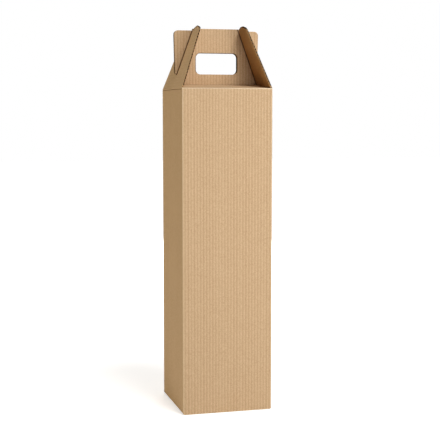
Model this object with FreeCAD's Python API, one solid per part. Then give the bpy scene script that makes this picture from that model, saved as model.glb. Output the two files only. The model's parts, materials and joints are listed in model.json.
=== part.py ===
import FreeCAD, Part
import math
import os

# One-bottle shipping box: a sleeve of E-flute corrugated board with a roofed lid, a double
# carrying handle and two gable flaps that slot over the handle's ears. Millimetres, Z up,
# the front towards -Y, the origin in the middle of the base.

# The carton
WIDTH = 98.0
DEPTH = 98.0
HEIGHT = 345.0  # the floor to the folds where the lid and the flaps begin
BOARD = 1.6  # E-flute board
FOLD_RADIUS = 2.0  # outside of a fold
CREASE_RADIUS = 0.4  # inside of a fold
CLEARANCE = 0.3  # between board that moves and board that stays
SEAM = 0.6  # between two board edges that meet

# The lid halves and the handle boards, which stand up from the middle of the lid
LID_RISE = 4.5
HANDLE_GAP = 0.8  # the two handle boards spring apart by this
HANDLE_HEIGHT = 64.0  # above the top of the walls
EAR_DROP = 2.0  # the ears are lower than the middle of the handle
EAR_HALF_WIDTH = 46.8
EAR_RADIUS = 4.5
EAR_FOOT_REACH = 2.2  # the ears' feet stand this far out of the flaps, and the ears widen above them
EAR_STEP = 1.3  # outside the flaps, where the handle's top steps down to the ears

# The hand hole
HOLE_WIDTH = 46.0
HOLE_HEIGHT = 22.5
HOLE_BOTTOM = 15.5  # above the top of the walls
HOLE_RADIUS = 5.0

# The gable flaps
FLAP_LEAN = 20.0  # degrees inward from upright
FLAP_RISE = 2.6  # the front prongs' crests, before rounding, stand this far above the handle
BACK_PRONG_DROP = 4.0  # the back prongs are shorter and end behind the ears
FLAP_TIP_HALF_WIDTH = 30.0
CREST_RISE = 3.5  # of a prong's crest above its two shoulders
CREST_RADIUS = 22.0
SHOULDER_RADIUS = 6.5
SLIT_START = 16.0  # along the flap from its fold
SLIT_END_RADIUS = 0.8

# The base flaps and the glued tab inside the back
BASE_FLAP_INSET = 1.6
TAB_WIDTH = 30.0
TAB_END_CLEARANCE = 9.0
TAB_CHAMFER = 12.0
TAB_GROOVE = 0.4

# Derived places
FRONT = -DEPTH / 2
SIDE = WIDTH / 2
HANDLE_FACE = HANDLE_GAP / 2 + BOARD  # from the middle plane to a handle board's outer face
LID_RUN = DEPTH / 2 - HANDLE_FACE
LID_SLOPE = math.atan2(LID_RISE, LID_RUN)
LID_DROP = BOARD / math.cos(LID_SLOPE)  # the lid's thickness, measured upright
LEAN = math.radians(FLAP_LEAN)
HINGE_X = SIDE - BOARD / 2
WALL_TOP = HEIGHT - BOARD / 2 - CLEARANCE  # the side walls stop under the round flap roots
HANDLE_TOP = HEIGHT + HANDLE_HEIGHT
FLAP_LENGTH = (HANDLE_HEIGHT + FLAP_RISE) / math.cos(LEAN)
FLAP_HALF_ROOT = DEPTH / 2 - BOARD - CLEARANCE  # the flaps fold between the front and the back
SLIT_HALF_WIDTH = HANDLE_FACE + CLEARANCE


def placed(u, v, plane):
    """A point of an outline: u runs across and v upwards, in the front (XZ) or side (YZ) plane."""
    if plane == "front":
        return FreeCAD.Vector(u, 0, v)
    if plane == "side":
        return FreeCAD.Vector(0, u, v)
    return FreeCAD.Vector(u, v, 0)


def rounded_face(corners, plane):
    """A flat face from (u, v, radius) corners, each rounded by its own radius."""
    edges = []
    joins = []
    count = len(corners)
    for index in range(count):
        before = placed(*corners[index - 1][:2], plane)
        corner = placed(*corners[index][:2], plane)
        after = placed(*corners[(index + 1) % count][:2], plane)
        radius = corners[index][2]
        if radius <= 0:
            joins.append((corner, corner, corner))
            continue
        back = (before - corner).normalize()
        ahead = (after - corner).normalize()
        half = back.getAngle(ahead) / 2
        inset = radius / math.tan(half)
        centre = corner + (back + ahead).normalize() * (radius / math.sin(half))
        middle = centre + (corner - centre).normalize() * radius
        joins.append((corner + back * inset, middle, corner + ahead * inset))
    for index in range(count):
        start, middle, end = joins[index]
        if start.distanceToPoint(end) > 1e-6:
            edges.append(Part.Arc(start, middle, end).toShape())
        following = joins[(index + 1) % count][0]
        if end.distanceToPoint(following) > 1e-6:
            edges.append(Part.makeLine(end, following))
    return Part.Face(Part.Wire(edges))


def prism(corners, plane, start, end):
    """An outline pushed along the axis square to its plane, from start to end."""
    axis = {
        "front": FreeCAD.Vector(0, 1, 0),
        "side": FreeCAD.Vector(1, 0, 0),
        "plan": FreeCAD.Vector(0, 0, 1),
    }[plane]
    face = rounded_face(corners, plane)
    face.translate(axis * start)
    return face.extrude(axis * (end - start))


def lid_underside(y):
    """Height of the front lid half's lower face at y."""
    return HEIGHT + (y - FRONT) * math.tan(LID_SLOPE) - LID_DROP


def lean_line(z, side):
    """Distance from the middle of the carton to a face of a leaning flap at height z.

    side is -1 for the face towards the handle and 1 for the outer face.
    """
    return HINGE_X - (z - HEIGHT) * math.tan(LEAN) + side * BOARD / 2 / math.cos(LEAN)


def front_strip():
    """Base flap, front wall, lid half and handle board as one folded strip of full width."""
    inner = FRONT + BOARD
    fold_z = HEIGHT + LID_RISE
    profile = [
        (-SEAM / 2, 0, 0),
        (FRONT, 0, FOLD_RADIUS),
        (FRONT, HEIGHT, FOLD_RADIUS),
        (-HANDLE_FACE, fold_z, CREASE_RADIUS),
        (-HANDLE_FACE, HANDLE_TOP, 0),
        (-HANDLE_GAP / 2, HANDLE_TOP, 0),
        (-HANDLE_GAP / 2, lid_underside(-HANDLE_GAP / 2), FOLD_RADIUS),
        (inner, lid_underside(inner), CREASE_RADIUS),
        (inner, BOARD, CREASE_RADIUS),
        (-SEAM / 2, BOARD, 0),
    ]
    return prism(profile, "side", -SIDE, SIDE)


def handle_outline():
    """Lid half and handle board seen from the front: the sides clear the flaps, the ears pass them."""
    swing = SLIT_START + CLEARANCE  # the ears' feet stay outside the swing of the slits' ends
    neck_z = HEIGHT + swing * math.cos(LEAN) - BOARD / 2 * math.sin(LEAN)
    foot_x = lean_line(neck_z, 1) + EAR_FOOT_REACH
    foot_z = HEIGHT + math.sqrt(swing**2 - (HINGE_X - foot_x) ** 2)
    neck_x = lean_line(neck_z, -1) - CLEARANCE
    root_x = lean_line(HEIGHT - BOARD, -1) - CLEARANCE
    ear_top = HANDLE_TOP - EAR_DROP
    step_x = lean_line(HANDLE_TOP, 0) + EAR_STEP
    right = [
        (root_x, HEIGHT - BOARD, 0),
        (neck_x, neck_z, CREASE_RADIUS),
        (foot_x, foot_z, CREASE_RADIUS),
        (EAR_HALF_WIDTH, ear_top, EAR_RADIUS),
        (step_x, ear_top, CREASE_RADIUS),
        (step_x, HANDLE_TOP, CREASE_RADIUS),
    ]
    left = [(-x, z, radius) for x, z, radius in reversed(right)]
    return right + left


def hand_hole():
    low = HEIGHT + HOLE_BOTTOM
    half = HOLE_WIDTH / 2
    corners = [
        (-half, low, HOLE_RADIUS),
        (half, low, HOLE_RADIUS),
        (half, low + HOLE_HEIGHT, HOLE_RADIUS),
        (-half, low + HOLE_HEIGHT, HOLE_RADIUS),
    ]
    return prism(corners, "front", -HANDLE_FACE - 1, HANDLE_FACE + 1)


def front_half():
    """The front strip cut to its outlines: full width at the wall, narrower base flap and lid."""
    inner = FRONT + BOARD
    base_x = SIDE - BASE_FLAP_INSET
    wall = [
        (-base_x, 0, 0),
        (base_x, 0, 0),
        (SIDE, BASE_FLAP_INSET, CREASE_RADIUS),
        (SIDE, HEIGHT + BOARD, 0),
        (-SIDE, HEIGHT + BOARD, 0),
        (-SIDE, BASE_FLAP_INSET, CREASE_RADIUS),
    ]
    wall_zone = prism(wall, "front", FRONT, inner)
    top_zone = prism(handle_outline(), "front", inner, 0)
    base_zone = Part.makeBox(2 * base_x, -inner, BOARD + CREASE_RADIUS)
    base_zone.translate(FreeCAD.Vector(-base_x, inner, 0))
    strip = front_strip()
    return strip.common(wall_zone).fuse([strip.common(top_zone), strip.common(base_zone)])


def right_wall():
    """The right wall with its base flap, which lies on the front and back ones."""
    inner = SIDE - BOARD
    profile = [
        (SEAM / 2, BOARD, 0),
        (SIDE, BOARD, FOLD_RADIUS),
        (SIDE, WALL_TOP, CREASE_RADIUS),
        (inner, WALL_TOP, CREASE_RADIUS),
        (inner, 2 * BOARD, CREASE_RADIUS),
        (SEAM / 2, 2 * BOARD, 0),
    ]
    strip = prism(profile, "front", FRONT, -FRONT)
    flap_y = DEPTH / 2 - BOARD - CLEARANCE
    keep = [
        (-flap_y, 0, 0),
        (flap_y, 0, 0),
        (flap_y, 2 * BOARD, 0),
        (-FRONT, 2 * BOARD + FOLD_RADIUS, 0),
        (-FRONT, HEIGHT, 0),
        (FRONT, HEIGHT, 0),
        (FRONT, 2 * BOARD + FOLD_RADIUS, 0),
        (-flap_y, 2 * BOARD, 0),
    ]
    return strip.common(prism(keep, "side", 0, SIDE))


def glue_tab():
    """The tab that the right wall ends in, glued flat inside the back wall."""
    low = TAB_END_CLEARANCE
    high = WALL_TOP - TAB_END_CLEARANCE
    right = SIDE - BOARD
    left = right - TAB_WIDTH
    corners = [
        (right, low, 0),
        (right, high, 0),
        (left, high - TAB_CHAMFER, CREASE_RADIUS),
        (left, low + TAB_CHAMFER, CREASE_RADIUS),
    ]
    back = DEPTH / 2 - BOARD
    return prism(corners, "front", back - BOARD, back)


def seam_groove():
    """The line where the tab's fold goes in behind the raw edge of the back wall."""
    back = DEPTH / 2 - BOARD
    groove = Part.makeBox(BOARD / 2, TAB_GROOVE, WALL_TOP)
    groove.translate(FreeCAD.Vector(SIDE - BOARD / 2, back - TAB_GROOVE, BOARD + FOLD_RADIUS))
    return groove


def corner_envelope():
    """Plan of the carton with its three folded corners and the sharper glued one."""
    corners = [
        (-SIDE, FRONT, FOLD_RADIUS),
        (SIDE, FRONT, FOLD_RADIUS),
        (SIDE, -FRONT, CREASE_RADIUS),
        (-SIDE, -FRONT, FOLD_RADIUS),
    ]
    return prism(corners, "plan", 0, HANDLE_TOP)


def make_carton():
    front = front_half()
    back = front.mirror(FreeCAD.Vector(0, 0, 0), FreeCAD.Vector(0, 1, 0))
    right = right_wall()
    left = right.mirror(FreeCAD.Vector(0, 0, 0), FreeCAD.Vector(1, 0, 0))
    carton = front.fuse([back, right, left, glue_tab()])
    carton = carton.common(corner_envelope())
    carton = carton.cut([hand_hole(), seam_groove()])
    return carton.removeSplitter()


def prong_outline(length):
    """The front edge, crested tip and slit edge of a flap's prong, in the flap's own plane."""
    taper = (FLAP_HALF_ROOT - FLAP_TIP_HALF_WIDTH) / FLAP_LENGTH
    shoulder = length - CREST_RISE
    outer = -FLAP_HALF_ROOT + taper * shoulder
    return [
        (-FLAP_HALF_ROOT, 0, 0),
        (outer, shoulder, SHOULDER_RADIUS),
        ((outer - SLIT_HALF_WIDTH) / 2, length, CREST_RADIUS),
        (-SLIT_HALF_WIDTH, shoulder, SHOULDER_RADIUS),
        (-SLIT_HALF_WIDTH, SLIT_START, SLIT_END_RADIUS),
    ]


def make_flap(side):
    """A gable flap leaning over the carton, side 1 on the right and -1 on the left."""
    front_prong = prong_outline(FLAP_LENGTH)
    back_prong = prong_outline(FLAP_LENGTH - BACK_PRONG_DROP)
    outline = front_prong + [(-y, h, radius) for y, h, radius in reversed(back_prong)]
    flap = prism(outline, "side", -BOARD / 2, BOARD / 2)
    root_end = FreeCAD.Vector(0, -FLAP_HALF_ROOT, 0)
    root = Part.makeCylinder(BOARD / 2, 2 * FLAP_HALF_ROOT, root_end, FreeCAD.Vector(0, 1, 0))
    flap = flap.fuse(root).removeSplitter()
    flap.rotate(FreeCAD.Vector(0, 0, 0), FreeCAD.Vector(0, 1, 0), -side * FLAP_LEAN)
    flap.translate(FreeCAD.Vector(side * HINGE_X, 0, HEIGHT))
    return flap


os.makedirs("parts", exist_ok=True)
for name, shape in (
    ("carton", make_carton()),
    ("left_gable_flap", make_flap(-1)),
    ("right_gable_flap", make_flap(1)),
):
    shape.exportStep("parts/" + name + ".step")
    box = shape.BoundBox
    print(name, len(shape.Solids), shape.isValid(), round(shape.Volume), box)
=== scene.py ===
"""Looks of a one-bottle shipping box in kraft E-flute board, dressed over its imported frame."""

import json
import logging
import math
from collections.abc import Callable
from dataclasses import dataclass, field, replace
from enum import Enum, IntEnum

import bmesh
import bpy
from mathutils import Matrix, Vector

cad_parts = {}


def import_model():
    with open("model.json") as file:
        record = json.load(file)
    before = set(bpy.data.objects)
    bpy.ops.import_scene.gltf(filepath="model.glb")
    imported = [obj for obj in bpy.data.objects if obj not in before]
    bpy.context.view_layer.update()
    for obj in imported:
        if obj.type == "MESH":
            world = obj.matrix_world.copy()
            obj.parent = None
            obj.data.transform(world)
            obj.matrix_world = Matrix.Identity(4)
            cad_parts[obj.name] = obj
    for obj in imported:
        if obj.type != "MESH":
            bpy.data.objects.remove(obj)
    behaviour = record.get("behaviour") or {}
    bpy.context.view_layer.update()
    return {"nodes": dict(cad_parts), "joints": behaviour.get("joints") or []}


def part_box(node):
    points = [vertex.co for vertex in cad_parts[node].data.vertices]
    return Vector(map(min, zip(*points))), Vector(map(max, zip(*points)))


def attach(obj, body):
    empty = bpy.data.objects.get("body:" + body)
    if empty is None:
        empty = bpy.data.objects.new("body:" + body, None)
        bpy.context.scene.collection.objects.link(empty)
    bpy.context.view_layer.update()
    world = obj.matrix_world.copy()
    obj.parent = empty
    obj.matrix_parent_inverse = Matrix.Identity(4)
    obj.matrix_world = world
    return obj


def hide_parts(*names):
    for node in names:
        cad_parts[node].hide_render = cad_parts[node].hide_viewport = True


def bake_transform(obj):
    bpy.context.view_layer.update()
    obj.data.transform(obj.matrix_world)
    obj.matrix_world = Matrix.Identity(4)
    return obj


LOG = logging.getLogger("bottle_box")
MM = 0.001
FLUTE_PITCH = 3.3 * MM  # of E-flute board
FLAP_LEAN = 20.0  # degrees inwards from upright
MERGE_DISTANCE = 0.001 * MM  # within which the corners of a CAD node's loose triangles are one
FLAT = 0.999  # along a board's normal: faces above it are part of its flat liner
NOISE_BAND = (0.35, 0.7)  # where a noise has most of its values
PAPER_IOR = 1.45


class FluteRun(Enum):
    """Which way the flutes run, and so which coordinate their lines are counted along."""

    UPRIGHT = "upright"
    ALONG_CREASE = "along the crease"


class Slot(IntEnum):
    """The material slots that the carton and the flaps share. Only the flaps have the last."""

    LINER = 0
    CUT_EDGE = 1
    # Dark paper of the cut edges along the flutes: open channels, with painted shade.
    OPENED_FLUTE = 2
    # A narrow strip of painted shade beside some cut edges.
    CRUSHED_LIP = 3
    INNER_LINER = 4


def linear(hex_colour: str) -> tuple[float, float, float, float]:
    """Turn an sRGB hex colour into Blender's linear colour.

    Args:
        hex_colour: Six hex digits, with or without a leading hash.

    Returns:
        Linear red, green, blue and an alpha of 1.
    """
    digits = hex_colour.lstrip("#")
    parts = [int(digits[i : i + 2], 16) / 255 for i in (0, 2, 4)]
    red, green, blue = [p / 12.92 if p <= 0.04045 else ((p + 0.055) / 1.055) ** 2.4 for p in parts]
    return red, green, blue, 1.0


def new_material(name: str) -> bpy.types.Material:
    """Make a material whose node tree is still empty.

    Args:
        name: The material's name.

    Returns:
        The material.
    """
    material = bpy.data.materials.new(name)
    material.use_nodes = True
    material.node_tree.nodes.clear()
    return material


def add_node(
    tree: bpy.types.NodeTree,
    kind: str,
    links: dict[str | int, bpy.types.NodeSocket] | None = None,
    values: dict[str | int, object] | None = None,
    **settings: object,
) -> bpy.types.Node:
    """Add one node with its settings, socket values and incoming links.

    Args:
        tree: The node tree that gets the node.
        kind: The node's type name.
        links: From each input socket's name or number to the output socket that feeds it.
        values: From each input socket's name or number to its fixed value.
        **settings: The node's own properties.

    Returns:
        The new node.
    """
    node = tree.nodes.new(kind)
    for name, value in settings.items():
        setattr(node, name, value)
    for name, value in (values or {}).items():
        node.inputs[name].default_value = value
    for name, source in (links or {}).items():
        tree.links.new(source, node.inputs[name])
    return node


@dataclass(frozen=True)
class PaintedSeamShade:
    """Painted shade where a leaning flap's slit grips the handle: thin dark brown lines in the handle's liner
    beside the flap's edges.

    The eye gets a crisp dark seam between handle and flap instead of two papers that run together, painted in
    place of the contact shadow, and two fine parallel lines of it once the flap is open.
    """

    hinge: Vector
    lean_degrees: float = FLAP_LEAN
    facing: float = 0.9  # along Y: only faces that look forward or back are rubbed
    start: float = 5.0 * MM  # above the hinge, where the handle rises from the lid
    ears_end: float = 61.6 * MM  # above the hinge, just under the ears' tops
    inner: tuple[float, float] = (0.55 * MM, 0.8 * MM)  # from the middle of the flap's board, hidden by it
    outer: tuple[float, float] = (1.5 * MM, 2.3 * MM)
    # The seam's painted shade.
    colour: str = "#3f200b"
    strength: float = 0.92

    def over(self, tree: bpy.types.NodeTree, paper: bpy.types.NodeSocket) -> bpy.types.NodeSocket:
        """Lay the painted seam shade over the paper's colour, on upright faces that look forward or back.

        Args:
            tree: The material's node tree.
            paper: The paper's colour socket.

        Returns:
            The colour socket with the line on it.
        """
        place = add_node(tree, "ShaderNodeTexCoord")
        parts = add_node(tree, "ShaderNodeSeparateXYZ", {0: place.outputs["Object"]})
        facing = add_node(tree, "ShaderNodeSeparateXYZ", {0: place.outputs["Normal"]})
        slope = math.tan(math.radians(self.lean_degrees))
        flap = add_node(
            tree,
            "ShaderNodeMath",
            {0: parts.outputs["Z"]},
            {1: -slope, 2: abs(self.hinge.x) + self.hinge.z * slope},
            operation="MULTIPLY_ADD",
        )
        sideways = add_node(tree, "ShaderNodeMath", {0: parts.outputs["X"]}, operation="ABSOLUTE")
        apart = add_node(
            tree, "ShaderNodeMath", {0: sideways.outputs[0], 1: flap.outputs[0]}, operation="SUBTRACT"
        )
        away = add_node(tree, "ShaderNodeMath", {0: apart.outputs[0]}, operation="ABSOLUTE")
        near = add_node(
            tree,
            "ShaderNodeMapRange",
            {"Value": away.outputs[0]},
            {
                "From Min": self.outer[0],
                "From Max": self.outer[1],
                "To Min": self.strength,
                "To Max": 0.0,
            },
        )
        beside = add_node(
            tree,
            "ShaderNodeMapRange",
            {"Value": away.outputs[0]},
            {"From Min": self.inner[0], "From Max": self.inner[1]},
        )
        seam = add_node(
            tree, "ShaderNodeMath", {0: near.outputs[0], 1: beside.outputs[0]}, operation="MULTIPLY"
        )
        flat = add_node(tree, "ShaderNodeMath", {0: facing.outputs["Y"]}, operation="ABSOLUTE")
        tests = {}
        for name, measure, limit in (
            ("above the lid", parts.outputs["Z"], self.hinge.z + self.start),
            ("on the handle's face", flat.outputs[0], self.facing),
            ("outside the flap", apart.outputs[0], 0.0),
            ("over the ears", parts.outputs["Z"], self.hinge.z + self.ears_end),
        ):
            test = add_node(tree, "ShaderNodeMath", {0: measure}, {1: limit}, operation="GREATER_THAN")
            tests[name] = test.outputs[0]
        masked = add_node(
            tree,
            "ShaderNodeMath",
            {0: tests["above the lid"], 1: tests["on the handle's face"]},
            operation="MULTIPLY",
        )
        step = add_node(
            tree,
            "ShaderNodeMath",
            {0: tests["outside the flap"], 1: tests["over the ears"]},
            operation="MULTIPLY",
        )
        kept = add_node(
            tree,
            "ShaderNodeMath",
            {0: masked.outputs[0], 1: step.outputs[0]},
            operation="SUBTRACT",
            use_clamp=True,
        )
        share = add_node(
            tree, "ShaderNodeMath", {0: seam.outputs[0], 1: kept.outputs[0]}, operation="MULTIPLY"
        )
        shaded_seam = add_node(
            tree,
            "ShaderNodeMix",
            {"Factor": share.outputs[0], "A": paper},
            {"B": linear(self.colour)},
            data_type="RGBA",
        )
        return shaded_seam.outputs[2]


@dataclass(frozen=True)
class KraftLiner:
    """Kraft linerboard: unbleached brown paper, machine-glazed smooth and drawn down over the flutes.

    The eye gets a matt warm brown with faint darker straight lines over the flute tips, painted shade of the
    washboard that the flutes press into the liner, short darker wood fibres, specks, and a soft cloudiness of
    the pulp. Fibres and specks are drawn coarser than real ones, so that they show.
    """

    name: str = "outer_liner"
    colour: str = "#d3b692"
    line_colour: str = "#b29069"
    cloud_colour: str = "#d1b490"
    fibre_colour: str = "#9c744b"
    roughness: float = 0.82
    specular: float = 0.3
    flute_pitch: float = FLUTE_PITCH
    line_strength: float = 0.58
    line_depth: float = 0.05 * MM
    line_variation: float = 0.3  # how much weaker the faintest lines are
    cloud_size: float = 14 * MM
    cloud_detail: float = 4.0
    cloud_roughness: float = 0.6
    speck_size: float = 0.9 * MM
    speck_detail: float = 1.0
    speck_strength: float = 0.3
    fibre_length: float = 1.2 * MM
    fibre_width: float = 0.35 * MM
    fibre_detail: float = 2.0
    fibre_wander: float = 1.2
    fibre_band: tuple[float, float] = (0.52, 0.8)  # of the noise, from bare paper to a whole fibre
    fibre_strength: float = 0.6
    side_facing: float = 0.7  # along X: faces above it count their flutes along Y
    # Painted highlight along the front and back folds, and painted shade in valleys and creases
    fold_highlight_colour: str = "#fdebcb"
    valley_shade_colour: str = "#62401f"
    fold_band: tuple[float, float] = (0.97, 0.8)  # of a normal's largest part, from flat board to a fold
    fold_strength: float = 1.0
    corner_strength: float = 0.2  # on the upright corners, which get a weaker painted highlight
    level_facing: float = 0.4  # along Z: folds above it count as level ones
    fold_reach: float = 47.0 * MM  # along Y: folds beyond it get the painted highlight, the others the painted valley shade

    def build(self, run: FluteRun, lean: float = 0.0, seam_shade: PaintedSeamShade | None = None) -> bpy.types.Material:
        """Make the liner for board whose flutes run one way.

        Args:
            run: The way the flutes run.
            lean: The board's lean about Y, for lines that run along a leaning board's crease.
            seam_shade: The painted shade of the seam where the flaps grip the handle, if this liner covers
                it.

        Returns:
            The material.
        """
        material = new_material(f"{self.name}_{run.name.lower()}_{round(math.degrees(lean))}")
        tree = material.node_tree
        across = self._across_flutes(tree, run, lean)
        phase = add_node(
            tree, "ShaderNodeMath", {0: across}, {1: 2 * math.pi / self.flute_pitch}, operation="MULTIPLY"
        )
        wave = add_node(tree, "ShaderNodeMath", {0: phase.outputs[0]}, operation="COSINE")
        line = add_node(
            tree, "ShaderNodeMapRange", {"Value": wave.outputs[0]}, {"From Min": -1.0, "From Max": 1.0}
        )
        pressed = add_node(
            tree,
            "ShaderNodeMath",
            {0: line.outputs[0], 1: self._line_share(tree, across)},
            operation="MULTIPLY",
        )
        colour = self._paper_colour(tree, pressed.outputs[0])
        if run is FluteRun.UPRIGHT:
            # Painted highlights and shade along the folds.
            colour = self._folds(tree, colour)
        # Painted shade of the seam where the flaps grip the handle.
        if seam_shade:
            colour = seam_shade.over(tree, colour)
        height = self._relief(tree, line.outputs[0])
        shader = add_node(
            tree,
            "ShaderNodeBsdfPrincipled",
            {"Base Color": colour, "Normal": height},
            {"Roughness": self.roughness, "IOR": PAPER_IOR, "Specular IOR Level": self.specular},
        )
        add_node(tree, "ShaderNodeOutputMaterial", {"Surface": shader.outputs[0]})
        return material

    def _across_flutes(self, tree: bpy.types.NodeTree, run: FluteRun, lean: float) -> bpy.types.NodeSocket:
        """Give the distance across the flutes: X on front and lid, Y on the sides, or up a flap.

        Args:
            tree: The material's node tree.
            run: The way the flutes run.
            lean: The board's lean about Y.

        Returns:
            The socket with the distance in metres.
        """
        place = add_node(tree, "ShaderNodeTexCoord")
        if run is FluteRun.ALONG_CREASE:
            upright = add_node(
                tree, "ShaderNodeMapping", {"Vector": place.outputs["Object"]}, {"Rotation": (0.0, lean, 0.0)}
            )
            parts = add_node(tree, "ShaderNodeSeparateXYZ", {0: upright.outputs[0]})
            return parts.outputs["Z"]
        parts = add_node(tree, "ShaderNodeSeparateXYZ", {0: place.outputs["Object"]})
        facing = add_node(tree, "ShaderNodeSeparateXYZ", {0: place.outputs["Normal"]})
        sideways = add_node(tree, "ShaderNodeMath", {0: facing.outputs["X"]}, operation="ABSOLUTE")
        on_side = add_node(
            tree, "ShaderNodeMath", {0: sideways.outputs[0]}, {1: self.side_facing}, operation="GREATER_THAN"
        )
        across = add_node(
            tree,
            "ShaderNodeMix",
            {"Factor": on_side.outputs[0], "A": parts.outputs["X"], "B": parts.outputs["Y"]},
        )
        return across.outputs[0]

    def _line_share(self, tree: bpy.types.NodeTree, across: bpy.types.NodeSocket) -> bpy.types.NodeSocket:
        """Give each flute line its own strength, at random.

        Args:
            tree: The material's node tree.
            across: The distance across the flutes.

        Returns:
            The socket with the line's share of full strength.
        """
        count = add_node(
            tree, "ShaderNodeMath", {0: across}, {1: 1 / self.flute_pitch}, operation="MULTIPLY"
        )
        number = add_node(tree, "ShaderNodeMath", {0: count.outputs[0]}, operation="ROUND")
        luck = add_node(tree, "ShaderNodeTexWhiteNoise", {"W": number.outputs[0]}, noise_dimensions="1D")
        share = add_node(
            tree,
            "ShaderNodeMapRange",
            {"Value": luck.outputs["Value"]},
            {"To Min": 1 - self.line_variation, "To Max": 1.0},
        )
        return share.outputs[0]

    def _paper_colour(self, tree: bpy.types.NodeTree, line: bpy.types.NodeSocket) -> bpy.types.NodeSocket:
        """Mix the pulp's clouds, the flute lines, the specks and the fibres into one colour.

        Args:
            tree: The material's node tree.
            line: 0 between the flute tips and the line's own strength on them.

        Returns:
            The colour socket.
        """
        place = add_node(tree, "ShaderNodeTexCoord")
        clouds = add_node(
            tree,
            "ShaderNodeTexNoise",
            {"Vector": place.outputs["Object"]},
            {
                "Scale": 1 / self.cloud_size,
                "Detail": self.cloud_detail,
                "Roughness": self.cloud_roughness,
            },
        )
        low, high = NOISE_BAND
        cloudy = add_node(
            tree, "ShaderNodeMapRange", {"Value": clouds.outputs[0]}, {"From Min": low, "From Max": high}
        )
        base = add_node(
            tree,
            "ShaderNodeMix",
            {"Factor": cloudy.outputs[0]},
            {"A": linear(self.colour), "B": linear(self.cloud_colour)},
            data_type="RGBA",
        )
        strength = add_node(tree, "ShaderNodeMath", {0: line}, {1: self.line_strength}, operation="MULTIPLY")
        # The flute lines are painted shade of the washboard relief.
        lined = add_node(
            tree,
            "ShaderNodeMix",
            {"Factor": strength.outputs[0], "A": base.outputs[2]},
            {"B": linear(self.line_colour)},
            data_type="RGBA",
        )
        specks = add_node(
            tree,
            "ShaderNodeTexNoise",
            {"Vector": place.outputs["Object"]},
            {"Scale": 1 / self.speck_size, "Detail": self.speck_detail},
        )
        speck = add_node(
            tree,
            "ShaderNodeMapRange",
            {"Value": specks.outputs[0]},
            {"From Min": low, "From Max": high, "To Max": self.speck_strength},
        )
        shares = add_node(
            tree,
            "ShaderNodeMath",
            {0: self._fibres(tree), 1: speck.outputs[0]},
            operation="ADD",
            use_clamp=True,
        )
        flecked = add_node(
            tree,
            "ShaderNodeMix",
            {"Factor": shares.outputs[0], "A": lined.outputs[2]},
            {"B": linear(self.fibre_colour)},
            data_type="RGBA",
        )
        return flecked.outputs[2]

    def _folds(self, tree: bpy.types.NodeTree, paper: bpy.types.NodeSocket) -> bpy.types.NodeSocket:
        """Paint a highlight on the folds of front and back, and painted shade in the handle's valley and the
        side creases.

        Args:
            tree: The material's node tree.
            paper: The paper's colour socket.

        Returns:
            The colour socket with its folds.
        """
        place = add_node(tree, "ShaderNodeTexCoord")
        sizes = {}
        for name, axes in (("Normal", "XYZ"), ("Object", "Y")):
            parts = add_node(tree, "ShaderNodeSeparateXYZ", {0: place.outputs[name]})
            for axis in axes:
                size = add_node(tree, "ShaderNodeMath", {0: parts.outputs[axis]}, operation="ABSOLUTE")
                sizes[name + axis] = size.outputs[0]
        largest = sizes["NormalX"]
        for name in ("NormalY", "NormalZ"):
            larger = add_node(tree, "ShaderNodeMath", {0: largest, 1: sizes[name]}, operation="MAXIMUM")
            largest = larger.outputs[0]
        turned = add_node(
            tree,
            "ShaderNodeMapRange",
            {"Value": largest},
            {"From Min": self.fold_band[0], "From Max": self.fold_band[1]},
        )
        level = add_node(
            tree,
            "ShaderNodeMapRange",
            {"Value": sizes["NormalZ"]},
            {
                "From Min": 0.0,
                "From Max": self.level_facing,
                "To Min": self.corner_strength,
                "To Max": self.fold_strength,
            },
        )
        share = add_node(
            tree, "ShaderNodeMath", {0: turned.outputs[0], 1: level.outputs[0]}, operation="MULTIPLY"
        )
        outer = add_node(
            tree, "ShaderNodeMath", {0: sizes["ObjectY"]}, {1: self.fold_reach}, operation="GREATER_THAN"
        )
        # Painted highlight on the outer folds, painted shade on the others.
        fold = add_node(
            tree,
            "ShaderNodeMix",
            {"Factor": outer.outputs[0]},
            {"A": linear(self.valley_shade_colour), "B": linear(self.fold_highlight_colour)},
            data_type="RGBA",
        )
        folded = add_node(
            tree,
            "ShaderNodeMix",
            {"Factor": share.outputs[0], "A": paper, "B": fold.outputs[2]},
            data_type="RGBA",
        )
        return folded.outputs[2]

    def _fibres(self, tree: bpy.types.NodeTree) -> bpy.types.NodeSocket:
        """Give the share of fibre colour: short strokes of noise, longer than they are wide.

        Args:
            tree: The material's node tree.

        Returns:
            The factor socket.
        """
        place = add_node(tree, "ShaderNodeTexCoord")
        stretched = add_node(
            tree,
            "ShaderNodeMapping",
            {"Vector": place.outputs["Object"]},
            {"Scale": (1 / self.fibre_width, 1 / self.fibre_width, 1 / self.fibre_length)},
        )
        noise = add_node(
            tree,
            "ShaderNodeTexNoise",
            {"Vector": stretched.outputs[0]},
            {"Scale": 1.0, "Detail": self.fibre_detail, "Distortion": self.fibre_wander},
        )
        share = add_node(
            tree,
            "ShaderNodeMapRange",
            {"Value": noise.outputs[0]},
            {
                "From Min": self.fibre_band[0],
                "From Max": self.fibre_band[1],
                "To Max": self.fibre_strength,
            },
        )
        return share.outputs[0]

    def _relief(self, tree: bpy.types.NodeTree, line: bpy.types.NodeSocket) -> bpy.types.NodeSocket:
        """Give the normal of the washboard relief that the flutes press into the liner.

        Args:
            tree: The material's node tree.
            line: 0 between the flute tips and 1 on them.

        Returns:
            The normal socket.
        """
        relief = add_node(
            tree, "ShaderNodeBump", {"Height": line}, {"Strength": 1.0, "Distance": self.line_depth}
        )
        return relief.outputs[0]


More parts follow.
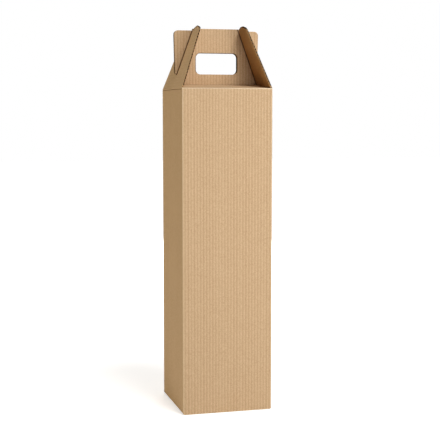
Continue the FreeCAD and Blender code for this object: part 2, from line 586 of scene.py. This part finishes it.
@dataclass(frozen=True)
class PlainPaper:
    """Bare paper stock with a fine tooth, for what shows only as a line: cut edges, lips and fluting.

    The eye gets a matt line of two close browns that mottle it.
    """

    name: str
    colour: str
    dark_colour: str
    roughness: float = 0.95
    specular: float = 0.2
    tooth: float = 0.5 * MM

    def build(self) -> bpy.types.Material:
        """Make the paper with a fine mottle of two browns.

        Returns:
            The material.
        """
        material = new_material(self.name)
        tree = material.node_tree
        place = add_node(tree, "ShaderNodeTexCoord")
        noise = add_node(
            tree, "ShaderNodeTexNoise", {"Vector": place.outputs["Object"]}, {"Scale": 1 / self.tooth}
        )
        colour = add_node(
            tree,
            "ShaderNodeMix",
            {"Factor": noise.outputs[0]},
            {"A": linear(self.colour), "B": linear(self.dark_colour)},
            data_type="RGBA",
        )
        shader = add_node(
            tree,
            "ShaderNodeBsdfPrincipled",
            {"Base Color": colour.outputs[2]},
            {"Roughness": self.roughness, "IOR": PAPER_IOR, "Specular IOR Level": self.specular},
        )
        add_node(tree, "ShaderNodeOutputMaterial", {"Surface": shader.outputs[0]})
        return material


@dataclass(frozen=True)
class Finishes:
    """The finishes that are built once and handed to the pieces."""

    upright_liner: bpy.types.Material
    cut_edge: bpy.types.Material
    opened_flute: bpy.types.Material
    crushed_lip: bpy.types.Material
    fluting: bpy.types.Material
    crease: bpy.types.Material

    @classmethod
    def build(cls, hinge: Vector) -> "Finishes":
        """Build every material but the flaps' own liners.

        Args:
            hinge: A point on either flap's hinge line.

        Returns:
            The finishes.
        """
        return cls(
            # The upright liner carries the seam's painted shade.
            upright_liner=KraftLiner().build(FluteRun.UPRIGHT, seam_shade=PaintedSeamShade(hinge)),
            cut_edge=PlainPaper("cut_kraft_edge", "#bf9a6f", "#9a764e").build(),
            # Cut edges along the flutes are drawn dark: the open channels, and painted shade.
            opened_flute=PlainPaper("flute_cut_lengthwise", "#4d3119", "#2e1c0e").build(),
            # A dark rim beside some cut edges: painted shade.
            crushed_lip=PlainPaper("liner_lip_crushed_by_the_die", "#74502e", "#573718").build(),
            # The fluting is drawn near black: painted shade inside the open channels.
            fluting=PlainPaper("fluting_paper", "#2c1b0d", "#1c1108").build(),
            # The crease web's dark paper is painted shade along the flaps' creases.
            crease=PlainPaper("creased_liner", "#856340", "#64492b").build(),
        )


@dataclass(frozen=True)
class FlutedBoard:
    """Section of the E-flute board: two liners with a wave of fluting paper between them."""

    thickness: float = 1.6 * MM
    liner: float = 0.15 * MM
    fluting: float = 0.14 * MM
    pitch: float = FLUTE_PITCH
    wave_steps: int = 12
    crest_share: float = 0.1  # of a pitch, where the fluting is glued to the liner
    steepness: float = 2.2  # of the wave's sides, with flat tips
    lopsided: float = 0.75  # how far the die pushed the wave towards one liner
    crushed_share: float = 0.3  # of full width, left to the channels on the side that the die crushed

    def channel(self, length: float) -> bpy.types.Mesh:
        """Make the air channel on one side of the fluting, as a prism along Z from the origin.

        Args:
            length: The channel's length.

        Returns:
            The closed mesh, its flat side towards +Y under the liner.
        """
        roof = self.thickness / 2 - self.liner
        swing = roof - self.fluting / 2
        points = []
        for step in range(self.wave_steps + 1):
            along = self.crest_share + (1 - 2 * self.crest_share) * step / self.wave_steps
            wave = self.steepness * math.cos(2 * math.pi * along) - self.lopsided
            points.append(((along - 0.5) * self.pitch, swing * max(-1.0, min(1.0, wave)) + self.fluting / 2))
        points += [(points[-1][0], roof), (points[0][0], roof)]
        board = bmesh.new()
        ring = [board.verts.new((x, y, 0.0)) for x, y in points]
        face = board.faces.new(ring)
        pushed = bmesh.ops.extrude_face_region(board, geom=[face])
        moved = [part for part in pushed["geom"] if isinstance(part, bmesh.types.BMVert)]
        bmesh.ops.translate(board, verts=moved, vec=(0.0, 0.0, length))
        bmesh.ops.recalc_face_normals(board, faces=board.faces)
        mesh = bpy.data.meshes.new("flute_channel")
        board.to_mesh(mesh)
        board.free()
        return mesh


@dataclass
class FluteRow:
    """A row of air channels, made with Geometry Nodes, that opens the cut edges of a board."""

    board: FlutedBoard
    name: str
    width: float
    length: float
    paper: bpy.types.Material
    place: Matrix = field(default_factory=Matrix.Identity)

    def tree(self) -> bpy.types.NodeTree:
        """Build the node tree that repeats a channel, turned over at every other step.

        Returns:
            The geometry node tree, with its sizes as named inputs.
        """
        tree = bpy.data.node_groups.new(f"{self.name}_row", "GeometryNodeTree")
        tree.interface.new_socket("Geometry", in_out="OUTPUT", socket_type="NodeSocketGeometry")
        for label, kind in (
            ("Geometry", "NodeSocketGeometry"),
            ("Count", "NodeSocketInt"),
            ("Half Pitch", "NodeSocketFloat"),
            ("Crushed Share", "NodeSocketFloat"),
            ("Paper", "NodeSocketMaterial"),
        ):
            tree.interface.new_socket(label, in_out="INPUT", socket_type=kind)
        given = add_node(tree, "NodeGroupInput")
        step = add_node(tree, "ShaderNodeCombineXYZ", {"X": given.outputs["Half Pitch"]})
        line = add_node(
            tree, "GeometryNodeMeshLine", {"Count": given.outputs["Count"], "Offset": step.outputs[0]}
        )
        index = add_node(tree, "GeometryNodeInputIndex")
        odd = add_node(tree, "ShaderNodeMath", {0: index.outputs[0]}, {1: 2.0}, operation="MODULO")
        turn = add_node(tree, "ShaderNodeMath", {0: odd.outputs[0]}, {1: math.pi}, operation="MULTIPLY")
        turned = add_node(tree, "ShaderNodeCombineXYZ", {"Z": turn.outputs[0]})
        width = add_node(
            tree,
            "ShaderNodeMapRange",
            {"Value": odd.outputs[0], "To Max": given.outputs["Crushed Share"]},
            {"To Min": 1.0},
        )
        squeezed = add_node(tree, "ShaderNodeCombineXYZ", {"X": width.outputs[0]}, {"Y": 1.0, "Z": 1.0})
        channels = add_node(
            tree,
            "GeometryNodeInstanceOnPoints",
            {
                "Points": line.outputs[0],
                "Instance": given.outputs["Geometry"],
                "Rotation": turned.outputs[0],
                "Scale": squeezed.outputs[0],
            },
        )
        whole = add_node(tree, "GeometryNodeRealizeInstances", {0: channels.outputs[0]})
        dressed = add_node(
            tree,
            "GeometryNodeSetMaterial",
            {"Geometry": whole.outputs[0], "Material": given.outputs["Paper"]},
        )
        add_node(tree, "NodeGroupOutput", {0: dressed.outputs[0]})
        return tree

    def build(self) -> bpy.types.Object:
        """Make the row as one plain mesh object, in place.

        Returns:
            The cutter object.
        """
        row = bpy.data.objects.new(self.name, self.board.channel(self.length))
        bpy.context.scene.collection.objects.link(row)
        tree = self.tree()
        modifier = row.modifiers.new("row", "NODES")
        modifier.node_group = tree
        sockets = {item.name: item.identifier for item in tree.interface.items_tree if item.in_out == "INPUT"}
        half_pitch = self.board.pitch / 2
        count = int(self.width / half_pitch)
        modifier[sockets["Count"]] = count
        modifier[sockets["Half Pitch"]] = half_pitch
        modifier[sockets["Crushed Share"]] = self.board.crushed_share
        modifier[sockets["Paper"]] = self.paper
        settle(row)
        centred = Matrix.Translation((-(count - 1) * half_pitch / 2, 0.0, 0.0))
        row.data.transform(self.place @ centred)
        return row


def settle(piece: bpy.types.Object) -> None:
    """Replace a piece's mesh by its evaluated one and remove its modifiers.

    Args:
        piece: The object whose modifiers become plain mesh.
    """
    bpy.context.view_layer.update()
    graph = bpy.context.evaluated_depsgraph_get()
    settled = bpy.data.meshes.new_from_object(piece.evaluated_get(graph))
    piece.modifiers.clear()
    piece.data = settled


def merged_copy(node: bpy.types.Object, name: str) -> bpy.types.Object:
    """Copy a CAD node's mesh with its loose triangles joined.

    Args:
        node: The CAD node's object.
        name: The new piece's name.

    Returns:
        The new object, linked to the scene.
    """
    mesh = node.data.copy()
    mesh.materials.clear()
    joined = bmesh.new()
    joined.from_mesh(mesh)
    bmesh.ops.remove_doubles(joined, verts=joined.verts, dist=MERGE_DISTANCE)
    joined.to_mesh(mesh)
    joined.free()
    piece = bpy.data.objects.new(name, mesh)
    bpy.context.scene.collection.objects.link(piece)
    return piece


def close_slivers(piece: bpy.types.Object) -> None:
    """Fill the hair-thin triangles that a cut can leave open.

    Args:
        piece: The object to close.
    """
    board = bmesh.new()
    board.from_mesh(piece.data)
    rims = [edge for edge in board.edges if edge.is_boundary]
    papers = {edge.index: edge.link_faces[0].material_index for edge in rims}
    filled = bmesh.ops.holes_fill(board, edges=rims, sides=0)  # 0 is any number of sides
    for face in filled["faces"]:
        known = [papers[edge.index] for edge in face.edges if edge.index in papers]
        face.material_index = known[0] if known else Slot.LINER
    board.to_mesh(piece.data)
    board.free()


def cut(piece: bpy.types.Object, cutter: bpy.types.Object) -> None:
    """Take a cutter out of a piece, whose new walls wear the cutter's material.

    Args:
        piece: The object that loses volume.
        cutter: The object that is removed, and deleted afterwards.
    """
    modifier = piece.modifiers.new("channels", "BOOLEAN")
    modifier.operation = "DIFFERENCE"
    modifier.solver = "EXACT"
    modifier.material_mode = "TRANSFER"
    modifier.object = cutter
    settle(piece)
    bpy.data.objects.remove(cutter)
    close_slivers(piece)


def paint_shaded_lips(
    piece: bpy.types.Object,
    liner: Callable[[bmesh.types.BMFace], bool],
    lip: Callable[[bmesh.types.BMFace], bool],
    width: float,
) -> None:
    """Turn the border of flat liner beside some cut faces into a narrow strip of painted shade.

    Args:
        piece: The object to change.
        liner: Says whether a face is part of the flat liner.
        lip: Says whether a neighbouring cut face has a painted-shade strip beside it.
        width: The strip's width.
    """
    board = bmesh.new()
    board.from_mesh(piece.data)
    flat = [face for face in board.faces if liner(face)]
    strips = bmesh.ops.inset_region(
        board, faces=flat, thickness=width, use_boundary=True, use_even_offset=True
    )
    for strip in strips["faces"]:
        neighbours = {face for edge in strip.edges for face in edge.link_faces}
        if any(lip(face) for face in neighbours):
            # The strip is painted shade: a dark rim along the cut edge.
            strip.material_index = Slot.CRUSHED_LIP
    bmesh.ops.triangulate(board, faces=board.faces)
    board.to_mesh(piece.data)
    board.free()


def smooth_folds(piece: bpy.types.Object, sharp_degrees: float = 32.0) -> None:
    """Shade rounded folds smooth while flat board stays flat.

    Args:
        piece: The object to shade.
        sharp_degrees: Edges that turn by more than this stay sharp.
    """
    for polygon in piece.data.polygons:
        polygon.use_smooth = True
    piece.data.set_sharp_from_angle(angle=math.radians(sharp_degrees))
    modifier = piece.modifiers.new("flat faces lead", "WEIGHTED_NORMAL")
    modifier.keep_sharp = True
    settle(piece)


@dataclass
class Carton:
    """The folded sheet: four walls, base flaps, roofed lid and the two handle boards."""

    finishes: Finishes
    node: bpy.types.Object
    flap_hinge_height: float
    board: FlutedBoard = field(default_factory=FlutedBoard)
    lid_rise: float = 5.0 * MM  # above the flaps' hinges, to where the handle has left the lid
    cut_edge_start: float = 1.0 * MM  # above the lid's rise
    lip_start: float = 3.0 * MM  # above the lid's rise
    channel_start: float = 4.0 * MM  # above the lid's rise
    overshoot: float = 1.0 * MM  # of the channels over the handle's top
    handle_gap: float = 0.8 * MM
    # The rows' middles and widths, clear of the steps beside the flaps
    flute_rows: tuple[tuple[float, float], ...] = (
        (0.0, 51.5 * MM),
        (-36.9 * MM, 19.7 * MM),
        (36.9 * MM, 19.7 * MM),
    )
    ear_drop: float = 2.0 * MM
    hole_reach: float = 26.0 * MM  # the hand hole lies within this of the middle
    lip: float = 0.5 * MM
    edge_facing: float = 0.5  # along Y: faces below it are cut edges
    hole_top_facing: float = 0.5  # downwards
    side_facing: float = 0.8  # along X

    def build(self) -> bpy.types.Object:
        """Make the carton with open flutes along the handle's cut edges.

        Returns:
            The finished piece.
        """
        piece = merged_copy(self.node, "folded_carton")
        for paper in (
            self.finishes.upright_liner,
            self.finishes.cut_edge,
            self.finishes.opened_flute,
            self.finishes.crushed_lip,
        ):
            piece.data.materials.append(paper)
        self._mark_cut_edges(piece)
        self._shade_hole_lips(piece)
        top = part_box("carton")[1].z
        start = self.flap_hinge_height + self.lid_rise + self.channel_start
        for side, name in ((-1, "front"), (1, "back")):
            depth = side * (self.handle_gap + self.board.thickness) / 2
            for number, (middle, width) in enumerate(self.flute_rows):
                row = FluteRow(
                    self.board,
                    f"{name}_handle_flutes_{number}",
                    width,
                    top - start + self.overshoot,
                    self.finishes.fluting,
                    Matrix.Translation((middle, depth, start)),
                )
                cut(piece, row.build())
        smooth_folds(piece)
        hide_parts("carton")
        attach(piece, "carton")
        return piece

    def _mark_cut_edges(self, piece: bpy.types.Object) -> None:
        """Give the handle's cut edges their papers: darker where the cut runs along a flute, and on the hand
        hole's downward top as painted shade.

        Args:
            piece: The carton's merged mesh.
        """
        floor = self.flap_hinge_height + self.lid_rise + self.cut_edge_start
        ear_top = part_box("carton")[1].z - self.ear_drop
        for polygon in piece.data.polygons:
            middle, facing = polygon.center, polygon.normal
            if middle.z > floor and abs(facing.y) < self.edge_facing:
                along_flute = abs(facing.x) > self.side_facing and middle.z < ear_top
                # The hole's top faces down: its dark paper is painted shade.
                hole_top = facing.z < -self.hole_top_facing and abs(middle.x) < self.hole_reach
                opened = along_flute or hole_top
                polygon.material_index = Slot.OPENED_FLUTE if opened else Slot.CUT_EDGE

    def _shade_hole_lips(self, piece: bpy.types.Object) -> None:
        """Paint shade on the liner's lip round the hand hole, on both sides of the handle.

        Args:
            piece: The carton's merged mesh, with its papers marked.
        """
        floor = self.flap_hinge_height + self.lid_rise + self.lip_start

        def liner(face: bmesh.types.BMFace) -> bool:
            """Say whether a face is flat liner on the handle."""
            return abs(face.normal.y) > FLAT and face.calc_center_median().z > floor

        def hole(face: bmesh.types.BMFace) -> bool:
            """Say whether a face is an opened flute in the hand hole."""
            near = abs(face.calc_center_median().x) < self.hole_reach
            return near and face.material_index == Slot.OPENED_FLUTE

        paint_shaded_lips(piece, liner, hole, self.lip)


@dataclass
class GableFlap:
    """One flap that leans over the lid, with its slit open towards the tip."""

    finishes: Finishes
    node: bpy.types.Object
    body: str
    hinge: Vector
    side: int
    lean_degrees: float = FLAP_LEAN
    board: FlutedBoard = field(default_factory=FlutedBoard)
    flute_start: float = 3.0 * MM  # up the flap from its hinge
    cut_edge_start: float = 1.0 * MM  # above the hinge
    overshoot: float = 1.0 * MM  # of the channels past the flap's edges
    lip: float = 0.8 * MM
    face_facing: float = 0.5  # along the board's normal, above which a face isn't a cut edge
    slant_facing: float = 0.6  # along Y, above which a cut edge crosses the flutes
    line_strength: float = 0.15  # its flutes show less than the walls'
    line_depth: float = 0.02 * MM

    def build(self) -> bpy.types.Object:
        """Make the flap with flutes that open along its slanted cut edges.

        Returns:
            The finished piece.
        """
        lean = math.radians(self.side * self.lean_degrees)
        outside = KraftLiner(line_strength=self.line_strength, line_depth=self.line_depth)
        # Painted shade: the inner liner is drawn browner than the outer one, to darken the flaps' inner
        # faces, which face down into the gable.
        inside = replace(
            outside,
            name="inner_liner",
            colour="#bf945f",
            line_colour="#9d7242",
            cloud_colour="#b98d59",
        )
        piece = merged_copy(self.node, f"{self.node.name}_board")
        for paper in (
            outside.build(FluteRun.ALONG_CREASE, lean),
            self.finishes.cut_edge,
            self.finishes.opened_flute,
            self.finishes.crushed_lip,
            inside.build(FluteRun.ALONG_CREASE, lean),
        ):
            piece.data.materials.append(paper)
        self._mark_papers(piece, lean)
        out = self._outward(lean)
        # Painted shade on a narrow strip beside the crest's cut edges.
        paint_shaded_lips(
            piece,
            lambda face: abs(face.normal.dot(out)) > FLAT,
            lambda face: face.material_index == Slot.OPENED_FLUTE,
            self.lip,
        )
        cut(piece, self._flutes(lean).build())
        smooth_folds(piece)
        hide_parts(self.node.name)
        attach(piece, self.body)
        return piece

    def _flutes(self, lean: float) -> FluteRow:
        """Lay the row of channels along Y and stack it up the leaning flap.

        Args:
            lean: The flap's lean about Y, in radians.

        Returns:
            The row, ready to build.
        """
        low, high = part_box(self.node.name)
        width = high.y - low.y
        length = (high.z - low.z) / math.cos(lean)
        # The row's own X goes up the flap, its Y out through the board and its Z along the flap's Y
        stack = Matrix(((0, 1, 0, 0), (0, 0, 1, 0), (1, 0, 0, 0), (0, 0, 0, 1)))
        middle = self.flute_start + length / 2
        place = (
            Matrix.Translation(self.hinge)
            @ Matrix.Rotation(-lean, 4, "Y")
            @ Matrix.Translation((0.0, -width / 2 - self.overshoot, middle))
            @ stack
        )
        return FluteRow(
            self.board,
            f"{self.node.name}_flutes",
            length,
            width + 2 * self.overshoot,
            self.finishes.fluting,
            place,
        )

    def _outward(self, lean: float) -> Vector:
        """Give the direction that the flap's outer liner faces.

        Args:
            lean: The flap's lean about Y, in radians.

        Returns:
            The unit vector away from the lid.
        """
        return Matrix.Rotation(-lean, 3, "Y") @ Vector((self.side, 0.0, 0.0))

    def _mark_papers(self, piece: bpy.types.Object, lean: float) -> None:
        """Give the inner liner and the cut edges their papers, darker where a cut runs along a flute.

        Args:
            piece: The flap's merged mesh.
            lean: The flap's lean about Y, in radians.
        """
        out = self._outward(lean)
        for polygon in piece.data.polygons:
            outwards = polygon.normal.dot(out)
            if outwards < -self.face_facing:
                polygon.material_index = Slot.INNER_LINER
            elif polygon.center.z > self.hinge.z + self.cut_edge_start and outwards < self.face_facing:
                # Cut edges along the flutes get dark paper: open channels with painted shade.
                opened = abs(polygon.normal.y) < self.slant_facing
                polygon.material_index = Slot.OPENED_FLUTE if opened else Slot.CUT_EDGE


@dataclass
class CreaseWeb:
    """The liner that runs on through a flap's crease, so that wall and flap stay one sheet."""

    finishes: Finishes
    side: str
    hinge: Vector
    half_width: float
    reach: float = 1.6 * MM  # into the wall and into the flap
    thickness: float = 0.5 * MM
    rows: int = 10

    def build(self) -> bpy.types.Object:
        """Make the strip on the hinge line, in rows from the wall up into the flap.

        Returns:
            The finished piece.
        """
        web = bmesh.new()
        rings = []
        for row in range(self.rows + 1):
            z = self.hinge.z + self.reach * (2 * row / self.rows - 1)
            left, right = self.hinge.x - self.thickness / 2, self.hinge.x + self.thickness / 2
            corners = ((left, -1), (right, -1), (right, 1), (left, 1))
            rings.append([web.verts.new((x, end * self.half_width, z)) for x, end in corners])
        for lower, upper in zip(rings, rings[1:]):
            for corner in range(len(lower)):
                following = (corner + 1) % len(lower)
                web.faces.new((lower[corner], lower[following], upper[following], upper[corner]))
        web.faces.new(rings[0][::-1])
        web.faces.new(rings[-1])
        mesh = bpy.data.meshes.new(f"{self.side}_crease_web")
        web.to_mesh(mesh)
        web.free()
        # Its dark paper is painted shade along the crease.
        mesh.materials.append(self.finishes.crease)
        piece = bpy.data.objects.new(mesh.name, mesh)
        bpy.context.scene.collection.objects.link(piece)
        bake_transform(piece)
        return piece


@dataclass(frozen=True)
class Softbox:
    """A rectangular studio lamp that looks at the box."""

    name: str
    place: tuple[float, float, float]
    power: float  # in watts
    width: float
    height: float
    colour: str = "#ffffff"

    def build(self, target: Vector) -> None:
        """Hang the lamp.

        Args:
            target: The point that it looks at.
        """
        data = bpy.data.lights.new(self.name, "AREA")
        data.energy = self.power
        data.color = linear(self.colour)[:3]
        data.shape = "RECTANGLE"
        data.size = self.width
        data.size_y = self.height
        lamp = bpy.data.objects.new(self.name, data)
        lamp.location = self.place
        lamp.rotation_euler = (target - Vector(self.place)).to_track_quat("-Z", "Y").to_euler()
        bpy.context.scene.collection.objects.link(lamp)


@dataclass(frozen=True)
class Studio:
    """Pale floor, soft lamps and the camera at the photograph's place."""

    image_pixels: float = 440.0
    focal_pixels: float = 1097.6
    camera_place: tuple[float, float, float] = (-0.3059, -1.1574, 0.3199)
    camera_turn: float = 0.262  # radians to the right
    camera_tilt: float = -0.0978  # radians up from level
    sensor_mm: float = 36.0
    view_depth: float = 20.0
    lamp_target: tuple[float, float, float] = (0.0, 0.0, 0.2)
    lamps: tuple[Softbox, ...] = (
        Softbox("key", (0.23, -0.80, 0.36), 2.85, 0.45, 0.42),
        Softbox("side key", (0.37, -0.47, 0.05), 0.56, 0.25, 0.25),
        Softbox("top", (0.25, -0.60, 1.40), 11.3, 0.5, 0.5),
        Softbox("fill", (-1.20, 0.05, 0.05), 9.3, 0.8, 0.8, "#fff2cf"),
        Softbox("back", (0.45, 1.40, 0.55), 12.0, 0.9, 0.9),
    )
    floor_size: float = 6.0  # from the middle to each side
    floor_colour: str = "#f0f0f0"
    shadow_reach: float = 0.2  # from the middle, where the floor starts to fade
    fade_reach: float = 0.9
    near_glow: float = 0.6  # the floor's own white for the camera, which reaches 1 where it has faded
    fill_colour: str = "#fff8ee"
    fill_level: float = 0.12

    def build(self) -> None:
        """Set the camera, lamps, floor, world and view."""
        self._camera()
        self._lamps()
        self._floor()
        self._world()
        bpy.context.scene.view_settings.view_transform = "Standard"

    def _camera(self) -> None:
        """Put the camera where the photograph was taken from."""
        data = bpy.data.cameras.new("photo_camera")
        data.sensor_width = self.sensor_mm
        data.lens = self.focal_pixels / self.image_pixels * self.sensor_mm
        data.clip_end = self.view_depth
        camera = bpy.data.objects.new("photo_camera", data)
        camera.location = self.camera_place
        camera.rotation_euler = (math.pi / 2 + self.camera_tilt, 0.0, -self.camera_turn)
        bpy.context.scene.collection.objects.link(camera)
        bpy.context.scene.camera = camera

    def _lamps(self) -> None:
        """Hang two keys to the front right, one overhead, a warm fill to the left and one behind."""
        for lamp in self.lamps:
            lamp.build(Vector(self.lamp_target))

    def _floor(self) -> None:
        """Lay a wide pale floor."""
        board = bmesh.new()
        bmesh.ops.create_grid(board, x_segments=1, y_segments=1, size=self.floor_size)
        mesh = bpy.data.meshes.new("floor")
        board.to_mesh(mesh)
        board.free()
        floor = bpy.data.objects.new("floor", mesh)
        bpy.context.scene.collection.objects.link(floor)
        mesh.materials.append(self._floor_paint())

    def _floor_paint(self) -> bpy.types.Material:
        """Make matt white paint that fades into the white background and keeps the box's shadow.

        Returns:
            The material.
        """
        material = new_material("matt_white_floor")
        tree = material.node_tree
        place = add_node(tree, "ShaderNodeTexCoord")
        away = add_node(tree, "ShaderNodeVectorMath", {0: place.outputs["Object"]}, operation="LENGTH")
        glow = add_node(
            tree,
            "ShaderNodeMapRange",
            {"Value": away.outputs["Value"]},
            {
                "From Min": self.shadow_reach,
                "From Max": self.fade_reach,
                "To Min": self.near_glow,
                "To Max": 1.0,
            },
        )
        rays = add_node(tree, "ShaderNodeLightPath")
        seen = add_node(
            tree,
            "ShaderNodeMath",
            {0: glow.outputs[0], 1: rays.outputs["Is Camera Ray"]},
            operation="MULTIPLY",
        )
        paint = add_node(tree, "ShaderNodeBsdfDiffuse", None, {"Color": linear(self.floor_colour)})
        white = add_node(tree, "ShaderNodeEmission", {"Strength": seen.outputs[0]})
        whole = add_node(tree, "ShaderNodeAddShader", {0: paint.outputs[0], 1: white.outputs[0]})
        add_node(tree, "ShaderNodeOutputMaterial", {"Surface": whole.outputs[0]})
        return material

    def _world(self) -> None:
        """Fill softly from all round, and show plain white behind the box."""
        world = bpy.data.worlds.new("studio")
        bpy.context.scene.world = world
        world.use_nodes = True
        tree = world.node_tree
        tree.nodes.clear()
        rays = add_node(tree, "ShaderNodeLightPath")
        fill = add_node(
            tree,
            "ShaderNodeBackground",
            None,
            {"Color": linear(self.fill_colour), "Strength": self.fill_level},
        )
        white = add_node(tree, "ShaderNodeBackground", None, {"Color": linear("#ffffff"), "Strength": 1.0})
        shown = add_node(
            tree,
            "ShaderNodeMixShader",
            {0: rays.outputs["Is Camera Ray"], 1: fill.outputs[0], 2: white.outputs[0]},
        )
        add_node(tree, "ShaderNodeOutputWorld", {"Surface": shown.outputs[0]})


def main() -> None:
    logging.basicConfig(level=logging.INFO, format="%(message)s")
    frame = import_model()
    Studio().build()
    hinges = {joint["child"]: Vector(joint["pos_m"]) for joint in frame["joints"]}
    finishes = Finishes.build(hinges["left_flap"])
    carton = Carton(finishes, frame["nodes"]["carton"], hinges["left_flap"].z).build()
    LOG.info("%s: %d faces", carton.name, len(carton.data.polygons))
    for sign, side in ((-1, "left"), (1, "right")):
        node = frame["nodes"][f"{side}_gable_flap"]
        hinge = hinges[f"{side}_flap"]
        flap = GableFlap(finishes, node, f"{side}_flap", hinge, sign).build()
        LOG.info("%s: %d faces", flap.name, len(flap.data.polygons))
        low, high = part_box(node.name)
        web = CreaseWeb(finishes, side, hinge, (high.y - low.y) / 2).build()
        LOG.info("%s: %d faces", web.name, len(web.data.polygons))


if __name__ == "__main__":
    main()
